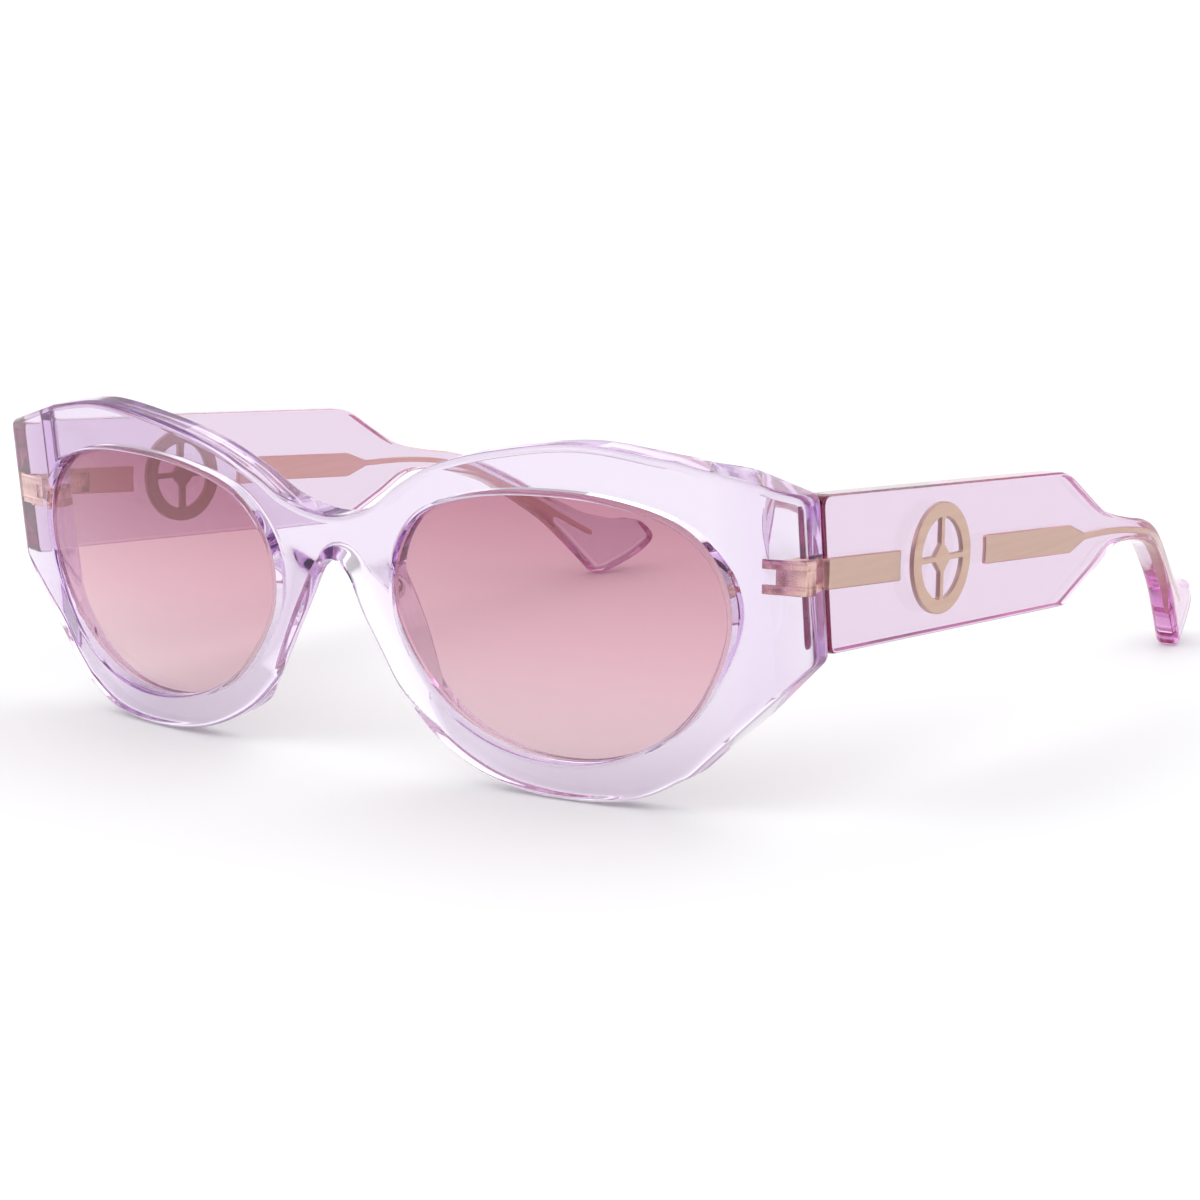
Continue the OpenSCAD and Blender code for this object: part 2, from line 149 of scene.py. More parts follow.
ARC_Y = FRONT_R + ARC_FRONT
LENS_TURN = math.degrees(math.asin((LENS_X - ARC_X) / FRONT_R))
BRIDGE_TURN = math.degrees(math.asin((ARC_X - BRIDGE_HALF) / FRONT_R))
BRIDGE_R = BRIDGE_HALF / sin(BRIDGE_TURN)
BRIDGE_Y = ARC_Y - (FRONT_R + BRIDGE_R) * cos(BRIDGE_TURN)
JOINT_AT_HINGE = (JOINT_Y - HINGE_Z * sin(PANTO)) / cos(PANTO)
HINGE_Y = JOINT_AT_HINGE + KNUCKLE_R + KNUCKLE_BACK
ARM_H = (HINGE_H - MID_H) / 2 - KNUCKLE_GAP
ARM_Y = JOINT_AT_HINGE - HINGE_Y - ARM_SUNK

# ---------- frames ----------


def placing():
    """Matrix from the worn frame, in millimetres, to the row frame, from the left hinge's axis."""
    hinge = next(j for j in frame["joints"] if j["name"] == "fold_left")
    axis = Vector(hinge["axis"]).normalized()
    turn = Vector((0, 0, 1)).rotation_difference(axis).to_matrix().to_4x4()
    there = turn @ (Vector((HINGE_X, HINGE_Y, HINGE_Z)) * MM)
    return Matrix.Translation(Vector(hinge["pos_m"]) - there) @ turn @ Matrix.Scale(MM, 4)


WORN = placing()
TILTED = WORN @ Matrix.Rotation(math.radians(PANTO), 4, "X")
TEMPLE = WORN @ Matrix.Translation((TEMPLE_X, 0, 0)) @ Matrix.Rotation(math.radians(TOE_IN), 4, "Z")
HINGE = WORN @ Matrix.Translation((HINGE_X, HINGE_Y, HINGE_Z))
MIRROR = Matrix.Scale(-1, 4, (1, 0, 0))
SIDES = {"left": Matrix.Identity(4), "right": MIRROR}

# ---------- curves ----------


def catmull(a, b, c, d, t):
    """Point at t of the Catmull-Rom curve from b to c, with neighbours a and d."""
    return (2 * b + (c - a) * t + (2 * a - 5 * b + 4 * c - d) * t * t + (3 * b - a - 3 * c + d) * t ** 3) / 2


def open_curve(points, steps, before=None, after=None):
    p = [np.array(q, float) for q in points]
    p = [2 * p[0] - p[1] if before is None else np.array(before, float)] + p
    p.append(2 * p[-1] - p[-2] if after is None else np.array(after, float))
    out = [catmull(*p[i:i + 4], k / steps) for i in range(len(p) - 3) for k in range(steps)]
    return np.array(out + [p[-2]])


def loop_curve(points, steps):
    p = np.array(points, float)
    n = len(p)
    return np.array([catmull(p[i - 1], p[i], p[(i + 1) % n], p[(i + 2) % n], k / steps)
                     for i in range(n) for k in range(steps)])


def rounded(points, radii):
    """The polyline with the corners whose index is in radii turned into arcs of about that radius."""
    out = []
    for i, p in enumerate(points):
        if i not in radii:
            out.append(p)
            continue
        back, on = points[i - 1] - p, points[(i + 1) % len(points)] - p
        back, on = back / np.linalg.norm(back), on / np.linalg.norm(on)
        turn = math.pi - math.acos(max(-1.0, min(1.0, float(back @ on))))
        reach = radii[i] * math.tan(turn / 2)
        steps = max(3, round(math.degrees(turn) / 8))
        for k in range(steps + 1):
            t = k / steps
            out.append((1 - t) ** 2 * (p + back * reach) + 2 * t * (1 - t) * p + t * t * (p + on * reach))
    return np.array(out)


def resampled(points, spacing, closed=False):
    """The polyline cut into even steps of about spacing."""
    p = np.vstack([points, points[:1]]) if closed else np.array(points)
    far = np.concatenate([[0], np.cumsum(np.linalg.norm(np.diff(p, axis=0), axis=1))])
    n = max(3, round(far[-1] / spacing))
    at = np.linspace(0, far[-1], n + 1)
    out = np.stack([np.interp(at, far, p[:, i]) for i in range(2)], axis=1)
    return out[:-1] if closed else out


def into_material(loop):
    """Unit normals of a closed outline, pointing into the material on its right-hand side."""
    t = np.roll(loop, -1, 0) - np.roll(loop, 1, 0)
    n = np.stack([t[:, 1], -t[:, 0]], axis=1)
    return n / np.linalg.norm(n, axis=1, keepdims=True)


def smoothstep(x, lo, hi):
    t = np.clip((x - lo) / (hi - lo), 0, 1)
    return t * t * (3 - 2 * t)


# ---------- meshes ----------


def mesh_object(name, verts, faces, place, sharp=None):
    """A smooth closed mesh from points in the frame that place maps to the row frame."""
    co = np.array(verts, float)
    m = np.array(place)
    co = co @ m[:3, :3].T + m[:3, 3]
    mesh = bpy.data.meshes.new(name)
    mesh.from_pydata(co.tolist(), [], [tuple(int(i) for i in f) for f in faces])
    bm = bmesh.new()
    bm.from_mesh(mesh)
    bmesh.ops.recalc_face_normals(bm, faces=bm.faces)
    bm.to_mesh(mesh)
    bm.free()
    mesh.shade_smooth()
    if sharp is not None:
        mesh.set_sharp_from_angle(angle=math.radians(sharp))
    ob = bpy.data.objects.new(name, mesh)
    bpy.context.scene.collection.objects.link(ob)
    return ob


def inside(points, loops):
    """Which points are inside the loops, by counting crossings."""
    hit = np.zeros(len(points), bool)
    for loop in loops:
        a, b = loop, np.roll(loop, -1, 0)
        for (ax, ay), (bx, by) in zip(a, b):
            if ay == by:
                continue
            cross = (ay > points[:, 1]) != (by > points[:, 1])
            hit ^= cross & (points[:, 0] < (bx - ax) * (points[:, 1] - ay) / (by - ay) + ax)
    return hit


def grid_points(loops, spacing, fine=None):
    """Staggered points that fill the region between the loops, clear of their edges."""
    edge = np.vstack(loops)
    lo, hi = edge.min(0), edge.max(0)

    def lattice(step, lo, hi):
        # Equilateral triangles: rows 2 / sqrt(3) steps apart, every other column half a row higher.
        columns = np.arange(math.floor(lo[0] / step), math.ceil(hi[0] / step) + 1)
        rows = np.arange(lo[1], hi[1], step * 1.155)
        return np.array([(i * step, z + (step * 0.577 if i % 2 else 0)) for i in columns for z in rows])

    def keep(points, step):
        points = points[inside(points, loops)]
        near = np.array([np.min(np.sum((edge - q) ** 2, axis=1)) for q in points])
        return points[near > (0.6 * step) ** 2]

    points = keep(lattice(spacing, lo, hi), spacing)
    if fine:
        step, low, high = fine
        for flip in (1, -1):
            a, b = sorted((low[0] * flip, high[0] * flip))
            outside = ~((points[:, 0] > a - step) & (points[:, 0] < b + step)
                        & (points[:, 1] > low[1] - step) & (points[:, 1] < high[1] + step))
            patch = keep(lattice(step, np.array([a, low[1]]), np.array([b, high[1]])), step)
            points = np.vstack([points[outside], patch])
    return points


def cap(loops, spacing, fine):
    """Triangles between the loops: (2D points added inside, triangles); loop points come first."""
    rim = np.vstack(loops)
    added = grid_points(loops, spacing, fine)
    edges, start = [], 0
    for loop in loops:
        n = len(loop)
        edges += [(start + i, start + (i + 1) % n) for i in range(n)]
        start += n
    flat = [Vector(p) for p in np.vstack([rim, added])]
    verts, _, faces, origin, _, _ = delaunay_2d_cdt(flat, edges, [], 1, 1e-7)
    centre = np.array([np.mean([verts[i][:] for i in f], axis=0) for f in faces])
    wanted = inside(centre, loops)
    name = [o[0] for o in origin]
    return added, [tuple(name[i] for i in f) for f, w in zip(faces, wanted) if w]


PLANE = {}               # which two coordinates of a surface's points are its outline's


def skin(name, walls, face, back, place, spacing=1.25, fine=None, sharp=None):
    """A closed solid between two surfaces, with a wall along each edge loop.

    Each wall is (stations, loop points, 3): its first station lies on the front surface and its last
    on the back one. face and back lift 2D points to those surfaces.
    """
    verts, faces, rims, start = [], [], [[], []], 0
    for wall in walls:
        k, n = wall.shape[:2]
        verts.append(wall.reshape(-1, 3))
        for i in range(k - 1):
            for j in range(n):
                a, b = start + i * n + j, start + i * n + (j + 1) % n
                faces.append((a, b, b + n, a + n))
        rims[0].append(np.arange(start, start + n))
        rims[1].append(np.arange(start + (k - 1) * n, start + k * n))
        start += k * n
    for side, lift in enumerate((face, back)):
        loops = [wall[-side][:, PLANE[lift]] for wall in walls]
        added, triangles = cap(loops, spacing, fine)
        index = np.concatenate(rims[side] + [np.arange(start, start + len(added))])
        verts.append(lift(added))
        start += len(added)
        faces += [tuple(index[i] for i in t) for t in triangles]
    return mesh_object(name, np.vstack(verts), faces, place, sharp)


def fillet(r, steps, support=0.12):
    """(inset, depth) from a support line on a face, round a fillet of radius r, to the wall."""
    turn = np.linspace(0, math.pi / 2, steps + 1)
    return [(r + support, 0.0)] + [(r * (1 - math.sin(a)), r * (1 - math.cos(a))) for a in turn]


# ---------- the front ----------


def arc_y(x, depth):
    """Front frame: y of the surface that lies depth behind the face, before the end block and pads."""
    x = np.abs(x)
    lens_half = ARC_Y - np.sqrt((FRONT_R - depth) ** 2 - (x - ARC_X) ** 2)
    bridge = BRIDGE_Y + np.sqrt((BRIDGE_R + depth) ** 2 - np.minimum(x, BRIDGE_HALF) ** 2)
    return np.where(x < BRIDGE_HALF, bridge, lens_half)


def pad_height(x, z):
    """Height of the nose pad over the back of the front."""
    x = np.abs(x)
    ridge = open_curve([(a, b) for a, b, _ in PAD_RIDGE], 6)
    height = open_curve([(i, h) for i, (_, _, h) in enumerate(PAD_RIDGE)], 6)[:, 1]
    best, out = np.full(x.shape, 1e9), np.zeros(x.shape)
    for (a, ha), (b, hb) in zip(zip(ridge, height), zip(ridge[1:], height[1:])):
        d = b - a
        t = np.clip(((x - a[0]) * d[0] + (z - a[1]) * d[1]) / (d @ d), 0, 1)
        ox, oz = x - a[0] - t * d[0], z - a[1] - t * d[1]
        away = np.hypot(ox, oz)
        outer = ox * d[1] - oz * d[0] < 0            # the side away from the nose
        fall = np.where(outer, 1 - smoothstep(away, PAD_CREST, PAD_SLOPE),
                        1 - smoothstep(away, *PAD_NOSE_SLOPE))
        here = np.maximum(ha + (hb - ha) * t, 0) * fall
        closer = away < best
        out = np.where(closer, here, out)
        best = np.where(closer, away, best)
    return out


def back_y(x, z):
    """Front frame: y of the back of the front, with its end block and nose pads."""
    arc = arc_y(x, FRONT_T)
    block = smoothstep(np.abs(x), *END_RAMP)
    return arc + (JOINT_Y - arc) * block + pad_height(x, z)


def lens_y(x, z, depth):
    """Front frame: y of the sphere that lies depth behind the face at the lens's height."""
    return ARC_Y - np.sqrt((FRONT_R - depth) ** 2 - (np.abs(x) - ARC_X) ** 2 - z ** 2)


def front_face(q):
    return np.stack([q[:, 0], arc_y(q[:, 0], 0), q[:, 1]], axis=1)


def front_back(q):
    return np.stack([q[:, 0], back_y(q[:, 0], q[:, 1]), q[:, 1]], axis=1)


PLANE[front_face] = PLANE[front_back] = [0, 2]


def front_outline():
    """The front's whole outline, clockwise seen from the back, from the middle of the brow."""
    half = np.vstack([open_curve(BROW, 8, before=(-BROW[1][0], BROW[1][1])), END_PIECE,
                      open_curve(CHEEK, 8, after=(-CHEEK[-2][0], CHEEK[-2][1]))])
    corner = 8 * (len(BROW) - 1)
    half = rounded(half, {corner + i: r for i, r in enumerate(END_CORNERS)})
    half = resampled(half, SPAN)
    return np.vstack([half, (half * [-1, 1])[-2:0:-1]])


def past_flare(points, normals, y):
    """The outline's points, pushed into the material until they are clear of the nose flare at y."""
    m, k = np.array([cos(WALL_LEAN), sin(WALL_LEAN)]), np.array([-sin(WALL_LEAN), cos(WALL_LEAN)])
    reach = FLARE_R + y * tan(FLARE)
    q = points.copy()
    for _ in range(12):
        rel = np.stack([np.abs(q[:, 0]), q[:, 1] - FLARE_Z], axis=1)
        away = np.where(rel @ k > 0, np.hypot(rel[:, 0], rel[:, 1]), rel @ m)
        short = np.where(np.abs(q[:, 0]) < FLARE_REACH, np.clip(reach - away, 0, None), 0)
        q = q + normals * short[:, None]
    return q


def front_wall():
    """The outer wall of the front: a fillet, a wall that the nose flare cuts, a smaller fillet."""
    outline = front_outline()
    n = into_material(outline)
    rows = []
    front_y = arc_y(outline[:, 0], 0)
    for inset, depth in fillet(FRONT_EDGE, 6):
        q = past_flare(outline, n, front_y + depth) + n * inset
        rows.append(np.stack([q[:, 0], arc_y(q[:, 0], 0) + depth, q[:, 1]], axis=1))
    rim = outline
    for _ in range(6):
        rim = past_flare(outline, n, back_y(rim[:, 0], rim[:, 1]))
    rim_y = back_y(rim[:, 0], rim[:, 1])
    for share in np.linspace(0, 1, 10)[1:-1]:
        y = front_y + FRONT_EDGE + share * (rim_y - BACK_EDGE - front_y - FRONT_EDGE)
        q = past_flare(outline, n, y)
        rows.append(np.stack([q[:, 0], y, q[:, 1]], axis=1))
    for inset, depth in reversed(fillet(BACK_EDGE, 5)):
        q = past_flare(outline, n, rim_y - depth) + n * inset
        rows.append(np.stack([q[:, 0], back_y(q[:, 0], q[:, 1]) - depth, q[:, 1]], axis=1))
    return np.array(rows)


def lens_loop(grow, spacing):
    """A lens outline in its own plane, grown by grow, anticlockwise."""
    shape = loop_curve([(a * LENS_W / 2, b * LENS_H / 2) for a, b in LENS_SHAPE], 8)
    shape = resampled(shape, spacing, closed=True)
    return shape + into_material(shape) * grow


def through(loop, y_of):
    """Where lines along the lens's own axis, through the loop's points, meet the surface y_of."""
    u, z = loop[:, 0], loop[:, 1]
    w = np.zeros(len(u))
    for _ in range(6):
        x = LENS_X + u * cos(LENS_TURN) - w * sin(LENS_TURN)
        w = (y_of(x, z) - u * sin(LENS_TURN)) / cos(LENS_TURN)
    return np.stack([LENS_X + u * cos(LENS_TURN) - w * sin(LENS_TURN), y_of(x, z), z], axis=1)


def opening_wall(flip):
    """The wall of a lens opening: fillet, wall, the groove that holds the lens, wall, fillet."""
    rows = [through(lens_loop(inset, SPAN), lambda x, z, d=depth: arc_y(x, 0) + d)
            for inset, depth in fillet(OPENING_EDGE, 5)]
    groove = LENS_BITE + GROOVE_PLAY
    front, back = LENS_SET - GROOVE_PLAY, LENS_SET + LENS_T + GROOVE_PLAY
    support, lean = 0.12, 0.02       # distance to the edge loop beside the groove; its walls lean in by this
    for grow, depth, shift in ((0, front, -support), (0, front, 0), (groove, front, lean),
                               (groove, back, -lean), (0, back, 0), (0, back, support)):
        rows.append(through(lens_loop(grow, SPAN), lambda x, z, d=depth, s=shift: lens_y(x, z, d) + s))
    rim = through(lens_loop(0, SPAN), back_y)
    over = PAD_OVERHANG * pad_height(rim[:, 0], rim[:, 2])[:, None]
    for inset, depth in reversed(fillet(OPENING_BACK_EDGE, 5)):
        loop = lens_loop(0, SPAN)
        loop = loop + into_material(loop) * (inset - over)
        rows.append(through(loop, lambda x, z, d=depth: back_y(x, z) - d))
    wall = np.array(rows)
    return wall * [-1, 1, 1] if flip else wall


def make_front():
    walls = [front_wall(), opening_wall(False), opening_wall(True)]
    low, high = (5.5, -15.0), (18.5, 7.5)        # a finer mesh here follows the nose pad
    return skin("front", walls, front_face, front_back, TILTED, fine=(0.42, low, high), sharp=50)


def make_lens(side):
    grow, step = LENS_BITE - LENS_SHORT, 0.9
    edge = fillet(LENS_EDGE, 3, 0.1)
    rows = [through(lens_loop(grow - inset, step), lambda x, z, d=depth: lens_y(x, z, LENS_SET + d))
            for inset, depth in edge]
    rows += [through(lens_loop(grow - inset, step), lambda x, z, d=depth: lens_y(x, z, LENS_SET + LENS_T - d))
             for inset, depth in reversed(edge)]

    def face(q):
        return np.stack([q[:, 0], lens_y(q[:, 0], q[:, 1], LENS_SET), q[:, 1]], axis=1)

    def back(q):
        return np.stack([q[:, 0], lens_y(q[:, 0], q[:, 1], LENS_SET + LENS_T), q[:, 1]], axis=1)

    PLANE[face] = PLANE[back] = [0, 2]
    return skin("sun_lens_" + side, [np.array(rows)], face, back, SIDES[side] @ TILTED, spacing=1.5)


# ---------- temples ----------


def temple_x(y, depth):
    """Temple frame: x of the sheet that lies depth inside the outer face: straight, bent, straight."""
    far = np.asarray(y, float) - BEND_Y
    r = BEND_R - depth
    arc = np.sqrt(np.clip(r ** 2 - np.clip(far, 0, None) ** 2, 1e-6, None))
    line = (r - far * sin(TIP_TURN)) / cos(TIP_TURN)
    return np.where(far < 0, -depth, np.where(far < r * sin(TIP_TURN), arc, line) - BEND_R)


def joint_edge(z, depth):
    """Temple frame: y at which the temple meets the end piece of the front."""
    plane = (JOINT_Y + JOINT_GAP - z * sin(PANTO)) / cos(PANTO)
    return (plane + depth * sin(TOE_IN)) / cos(TOE_IN)


def temple_outline():
    top, low = np.array(BLADE_TOP, float), np.array(BLADE_LOW, float)
    top[0, 0], low[1, 0] = joint_edge(top[0, 1], 0), joint_edge(low[1, 1], 0)
    tip = open_curve(TIP, 6, before=top[1], after=low[0])
    shape = np.vstack([top, tip, low])
    n = len(shape)
    shape = rounded(shape, {0: JOINT_CORNER, 1: BLADE_TOP_R, n - 2: BLADE_LOW_R, n - 1: JOINT_CORNER})
    return resampled(shape, 0.6, closed=True)


def sheet_rows(outline, d0, d1, r0, r1, shift=None, tip_r=None):
    """Wall of a piece that follows the temple between two depths, with a fillet at each face.

    Both fillets grow to tip_r along the paddle tip.
    """
    n = into_material(outline)
    rows = []
    paddle = smoothstep(outline[:, 0], *PADDLE) if tip_r else np.zeros(len(outline))
    grow0 = 1 + paddle * ((tip_r or r0) / r0 - 1)
    grow1 = 1 + paddle * ((tip_r or r1) / r1 - 1)
    for inset, depth in [(i * grow0, d0 + d * grow0) for i, d in fillet(r0, 5, 0.1)] + \
                        [(i * grow1, d1 - d * grow1) for i, d in reversed(fillet(r1, 5, 0.1))]:
        q = outline + n * inset[:, None]
        if shift is not None:
            q = q + shift(q, depth)
        rows.append(np.stack([temple_x(q[:, 0], depth), q[:, 0], q[:, 1]], axis=1))
    return np.array(rows)


def sheet(name, outlines, d0, d1, r0, r1, side, spacing, shift=None, sharp=None, tip_r=None):
    """A piece cut to outlines from a sheet that follows the temple between two depths."""
    def outer(q):
        return np.stack([temple_x(q[:, 0], d0), q[:, 0], q[:, 1]], axis=1)

    def inner(q):
        return np.stack([temple_x(q[:, 0], d1), q[:, 0], q[:, 1]], axis=1)

    PLANE[outer] = PLANE[inner] = [1, 2]
    walls = [sheet_rows(o, d0, d1, r0, r1, shift, tip_r) for o in outlines]
    return skin(name, walls, outer, inner, SIDES[side] @ TEMPLE, spacing, sharp=sharp)


def make_temple(side):
    def along_joint(q, depth):
        """The front end follows the joint, which leans a little with depth."""
        near = 1 - smoothstep(q[:, 0] - joint_edge(q[:, 1], 0), *JOINT_LEAN)
        return np.stack([near * depth * tan(TOE_IN), np.zeros(len(q))], axis=1)

    ob = sheet("temple_acetate_" + side, [temple_outline()], 0, TEMPLE_T, TEMPLE_EDGE, TEMPLE_INNER_EDGE,
               side, 1.5, along_joint, tip_r=PADDLE_R)
    cut(ob, knuckle_room(side))
    ob.data.set_sharp_from_angle(angle=math.radians(40))
    return ob


def bar_line(y):
    return BAR_Z - y * tan(BAR_FALL)


def hollow_end(gap, rear):
    """Arc of the bar's end that stays clear of the emblem by gap, from its upper to its lower corner."""
    r = EMBLEM_R + gap
    half = math.asin(BAR_H / 2 / r)
    way = 1 if rear else -1
    turn = np.linspace(half, -half, 7)
    return np.array([(EMBLEM_Y + way * r * math.cos(a), bar_line(EMBLEM_Y) + r * math.sin(a)) for a in turn])


def front_bar_outline():
    middle = bar_line(BAR_START)
    lead = np.array([(BAR_START, middle - BAR_H / 2), (BAR_START, middle + BAR_H / 2)])
    shape = np.vstack([lead, hollow_end(FRONT_GAP, False)])
    shape = rounded(shape, {0: BAR_CORNER, 1: BAR_CORNER, 2: BAR_CORNER, len(shape) - 1: BAR_CORNER})
    return resampled(shape, 0.2, closed=True)


def core_outline():
    wire = open_curve(WIRE, 6)
    middle = bar_line(BAR2_END)
    shoulder = np.array([(BAR2_END, middle + BAR_H / 2), (BAR2_END, middle - BAR_H / 2)])
    up = np.array([0, WIRE_H / 2])
    hollow = hollow_end(REAR_GAP, True)[::-1]
    shape = np.vstack([shoulder[:1], wire + up, (wire - up)[::-1], shoulder[1:], hollow])
    n, m = len(shape), len(wire)
    shoulder_r, wire_r = 2, 0.3
    shape = rounded(shape, {0: shoulder_r, m: wire_r, m + 1: wire_r, 2 * m + 1: shoulder_r,
                            2 * m + 2: BAR_CORNER, n - 1: BAR_CORNER})
    return resampled(shape, 0.25, closed=True)


def make_bar(name, outline, side):
    return sheet(name + "_" + side, [outline], BAR_DEPTH, BAR_DEPTH + BAR_T, BAR_EDGE, BAR_EDGE, side, 1.5)


def emblem_hole(quarter):
    """One of the four openings between the ring, two spokes and the lozenge, anticlockwise."""
    r, s = EMBLEM_R - RING_W, SPOKE_W / 2
    a = math.asin(s / r)
    arc = [(r * math.cos(t), r * math.sin(t)) for t in np.linspace(a, math.pi / 2 - a, 14)]
    shape = np.array(arc + [(s, LOZENGE_R - s), (LOZENGE_R - s, s)])
    shape = rounded(shape, {0: 0.3, 13: 0.3, 14: 0.25, 15: 0.25})
    c, q = math.cos(quarter * math.pi / 2), math.sin(quarter * math.pi / 2)
    shape = resampled(shape, 0.25, closed=True) @ np.array([[c, q], [-q, c]])
    return shape + [EMBLEM_Y, bar_line(EMBLEM_Y)]


def make_emblem(side):
    turn = np.linspace(0, -2 * math.pi, 144, endpoint=False)
    across, up = EMBLEM_R * np.cos(turn), EMBLEM_R * np.sin(turn)
    ring = np.stack([EMBLEM_Y + across, bar_line(EMBLEM_Y) + up], axis=1)
    outlines = [ring] + [emblem_hole(k) for k in range(4)]
    return sheet("round_emblem_" + side, outlines, -EMBLEM_RISE, EMBLEM_T, EMBLEM_EDGE, EMBLEM_INNER_EDGE,
                 side, 0.6)


# ---------- hinges ----------


def tube(r, bore, z0, z1, edge=0.12, steps=40):
    """Points and faces of a ring about z, with rounded outer edges; solid where bore is 0."""
    soft = edge * 0.3
    outer = [(r - edge, z0), (r - soft, z0 + soft), (r, z0 + edge), (r, z1 - edge), (r - soft, z1 - soft),
             (r - edge, z1)]
    profile = outer + ([(bore, z1), (bore, z0)] if bore else [])
    turn = np.linspace(0, 2 * math.pi, steps, endpoint=False)
    verts = [(a * math.cos(t), a * math.sin(t), z) for a, z in profile for t in turn]
    rows = len(profile)
    faces = [(i * steps + j, i * steps + (j + 1) % steps, ((i + 1) % rows) * steps + (j + 1) % steps,
              ((i + 1) % rows) * steps + j) for i in range(rows if bore else rows - 1) for j in range(steps)]
    if not bore:
        faces += [tuple(range(steps)), tuple(range((rows - 1) * steps, rows * steps))]
    return verts, faces


def block(low, high, edge=0.1):
    """Points and faces of a box with bevelled edges."""
    bm = bmesh.new()
    bmesh.ops.create_cube(bm, size=1)
    size = [h - l for l, h in zip(low, high)]
    for v in bm.verts:
        v.co = [l + (c + 0.5) * s for l, c, s in zip(low, v.co, size)]
    bmesh.ops.bevel(bm, geom=bm.edges[:], offset=edge, segments=2, profile=0.5, affect="EDGES")
    bm.verts.ensure_lookup_table()
    out = [tuple(v.co) for v in bm.verts], [tuple(v.index for v in f.verts) for f in bm.faces]
    bm.free()
    return out


def joined(name, parts, place, sharp=35):
    """One object from several closed shells."""
    verts, faces = [], []
    for v, f in parts:
        faces += [tuple(i + len(verts) for i in face) for face in f]
        verts += list(v)
    return mesh_object(name, verts, faces, place, sharp)


def cut(ob, tool):
    """Takes tool away from ob and removes it."""
    mod = ob.modifiers.new("room", "BOOLEAN")
    mod.operation, mod.solver, mod.object = "DIFFERENCE", "EXACT", tool
    bpy.context.view_layer.update()
    done = bpy.data.meshes.new_from_object(ob.evaluated_get(bpy.context.evaluated_depsgraph_get()))
    ob.modifiers.clear()
    ob.data = done
    bpy.data.objects.remove(tool)


def knuckle_room(side):
    """Room for the knuckles and their arms in the temple's end."""
    h = HINGE_H / 2 + ROOM_END
    r = KNUCKLE_R + ROOM_GAP
    arc = [(r * math.cos(a), r * math.sin(a)) for a in np.linspace(0, math.pi / 2, 12)]
    outline = [(-ROOM_IN, -ROOM_FRONT), (r, -ROOM_FRONT)] + arc + [(-ROOM_IN, r)]
    n = len(outline)
    verts = [(x, y, z) for z in (-h, h) for x, y in outline]
    faces = [tuple(range(n)), tuple(range(2 * n - 1, n - 1, -1))]
    faces += [(i, (i + 1) % n, n + (i + 1) % n, n + i) for i in range(n)]
    return mesh_object("knuckle_room", verts, faces, SIDES[side] @ HINGE)


def make_front_hinge(side):
    parts = []
    for z in (MID_H / 2 + KNUCKLE_GAP, -HINGE_H / 2):
        parts.append(tube(KNUCKLE_R, SCREW_R + SCREW_PLAY, z, z + ARM_H))
        parts.append(block((-KNUCKLE_R, ARM_Y + 1.5 * INSET, z + INSET),
                           (KNUCKLE_R, -PAST_BORE, z + ARM_H - INSET)))
        parts.append(block((-ANCHOR_IN, ARM_Y, z), (ANCHOR_OUT, ARM_Y + ANCHOR_T, z + ARM_H)))
    parts.append(block((-RIB_IN, ARM_Y + 3 * INSET, -HINGE_H / 2 + 2 * INSET),
                       (ANCHOR_OUT - 1.5 * INSET, ARM_Y + ANCHOR_T - 2 * INSET, HINGE_H / 2 - 2 * INSET)))
    return joined("front_leaf_" + side, parts, SIDES[side] @ HINGE)


def make_screw(side):
    """A plain shank and a head whose top is level with the knuckle's; its slot stands at an angle.

    The front leaf here has a bore and no counterbore, so the head's rim lies inside the leaf.
    """
    h = HINGE_H / 2
    lap, past = 0.05, 1              # shank into head; the slot's cutter out of the head
    shank = tube(SCREW_R, 0, -h, h - HEAD_H + lap, 0.08)
    head = mesh_object("head", *tube(HEAD_R, 0, h - HEAD_H, h, 0.1), Matrix.Identity(4))
    cutter = block((-SLOT_L / 2, -SLOT_W / 2, h - SLOT_D), (SLOT_L / 2, SLOT_W / 2, h + past), 0.02)
    slot = mesh_object("slot", *cutter, Matrix.Identity(4))
    cut(head, slot)
    turned = Matrix.Rotation(math.radians(35), 3, "Z")
    parts = [shank, ([tuple(turned @ v.co) for v in head.data.vertices],
                     [tuple(p.vertices) for p in head.data.polygons])]
    bpy.data.objects.remove(head)
    return joined("screw_" + side, parts, SIDES[side] @ HINGE, 30)


def make_temple_leaf(side):
    knuckle = tube(KNUCKLE_R, SCREW_R + SCREW_PLAY, -MID_H / 2, MID_H / 2)
    neck = block((PAST_BORE, NECK_Y, INSET - MID_H / 2), (NECK_L, NECK_Y + NECK_T, MID_H / 2 - INSET))
    leaf = block((-BAR_DEPTH - BAR_T - LEAF_T, HINGE_Y + NECK_Y, HINGE_Z - LEAF_H / 2),
                 (-BAR_DEPTH - BAR_T, LEAF_END + NECK_Y, HINGE_Z + LEAF_H / 2))
    to_hinge = HINGE.inverted() @ TEMPLE
    leaf = [tuple(to_hinge @ Vector(v)) for v in leaf[0]], leaf[1]
    return joined("temple_leaf_" + side, [knuckle, neck, leaf], SIDES[side] @ HINGE)


# ---------- materials ----------


def material(name):
    mat = bpy.data.materials.new(name)
    mat.use_nodes = True
    nodes, links = mat.node_tree.nodes, mat.node_tree.links
    return mat, nodes, links, nodes["Principled BSDF"], nodes["Material Output"]


